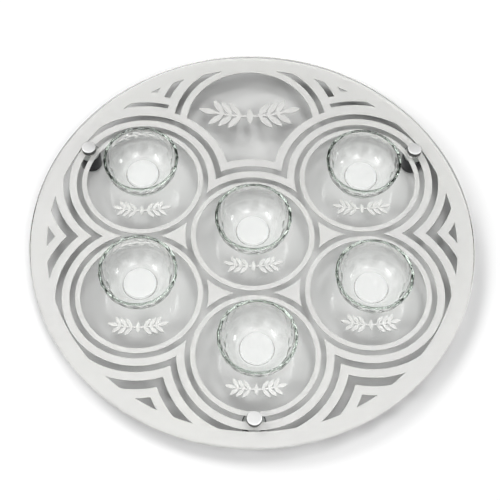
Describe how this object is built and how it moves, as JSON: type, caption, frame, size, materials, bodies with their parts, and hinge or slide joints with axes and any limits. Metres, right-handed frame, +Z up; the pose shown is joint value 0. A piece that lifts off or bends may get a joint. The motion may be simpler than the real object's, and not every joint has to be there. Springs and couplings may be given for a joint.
{
  "type": "seder plate",
  "caption": "Round glass seder plate on short bolted legs, with a polished metal ring inlay under the glass and loose cut-glass cups standing on its places.",
  "frame": {"origin": "on the table, below the middle of the plate", "axes": "+Z up; the large back field is towards +Y, the front leg towards -Y"},
  "size_m": [0.3975, 0.3976, 0.0543],
  "materials": {
    "plate_glass": "polished float glass",
    "cup_glass": "pressed and ground clear glass",
    "inlay_steel": "satin polish",
    "cap_steel": "satin, turned",
    "leg_steel": "polished",
    "stud_steel": "zinc plated",
    "gasket_clear": "clear soft plastic",
    "sleeve_nylon": "natural nylon",
    "foot_rubber": "matt"
  },
  "bodies": {
    "plate": {"glass_plate": "plate_glass", "rim_plate": "inlay_steel", "loop_band": "inlay_steel", "place_ring_centre": "inlay_steel", "place_ring_upper_right": "inlay_steel", "place_ring_upper_left": "inlay_steel", "place_ring_lower_left": "inlay_steel", "place_ring_front": "inlay_steel", "place_ring_lower_right": "inlay_steel", "spandrel_upper_left_to_lower_left": "inlay_steel", "spandrel_lower_left_to_front": "inlay_steel", "spandrel_front_to_lower_right": "inlay_steel", "spandrel_lower_right_to_upper_right": "inlay_steel", "leaf_spray_centre": "inlay_steel", "leaf_spray_upper_right": "inlay_steel", "leaf_spray_upper_left": "inlay_steel", "leaf_spray_lower_left": "inlay_steel", "leaf_spray_front": "inlay_steel", "leaf_spray_lower_right": "inlay_steel", "leaf_spray_back": "inlay_steel", "foot_pad_rear_right": "foot_rubber", "leg_barrel_rear_right": "leg_steel", "lower_gasket_rear_right": "gasket_clear", "glass_sleeve_rear_right": "sleeve_nylon", "upper_gasket_rear_right": "gasket_clear", "stud_rear_right": "stud_steel", "cap_rear_right": "cap_steel", "foot_pad_rear_left": "foot_rubber", "leg_barrel_rear_left": "leg_steel", "lower_gasket_rear_left": "gasket_clear", "glass_sleeve_rear_left": "sleeve_nylon", "upper_gasket_rear_left": "gasket_clear", "stud_rear_left": "stud_steel", "cap_rear_left": "cap_steel", "foot_pad_front": "foot_rubber", "leg_barrel_front": "leg_steel", "lower_gasket_front": "gasket_clear", "glass_sleeve_front": "sleeve_nylon", "upper_gasket_front": "gasket_clear", "stud_front": "stud_steel", "cap_front": "cap_steel"},
    "cup_centre_body": {"cup_centre": "cup_glass"},
    "cup_upper_right_body": {"cup_upper_right": "cup_glass"},
    "cup_upper_left_body": {"cup_upper_left": "cup_glass"},
    "cup_lower_left_body": {"cup_lower_left": "cup_glass"},
    "cup_front_body": {"cup_front": "cup_glass"},
    "cup_lower_right_body": {"cup_lower_right": "cup_glass"}
  },
  "joints": [
    {"name": "cup_centre_lift", "type": "slide", "parent": "plate", "child": "cup_centre_body", "axis": [0, 0, 1], "range_m": [0, 0.08]},
    {"name": "cup_upper_right_lift", "type": "slide", "parent": "plate", "child": "cup_upper_right_body", "axis": [0, 0, 1], "range_m": [0, 0.08]},
    {"name": "cup_upper_left_lift", "type": "slide", "parent": "plate", "child": "cup_upper_left_body", "axis": [0, 0, 1], "range_m": [0, 0.08]},
    {"name": "cup_lower_left_lift", "type": "slide", "parent": "plate", "child": "cup_lower_left_body", "axis": [0, 0, 1], "range_m": [0, 0.08]},
    {"name": "cup_front_lift", "type": "slide", "parent": "plate", "child": "cup_front_body", "axis": [0, 0, 1], "range_m": [0, 0.08]},
    {"name": "cup_lower_right_lift", "type": "slide", "parent": "plate", "child": "cup_lower_right_body", "axis": [0, 0, 1], "range_m": [0, 0.08]}
  ]
}
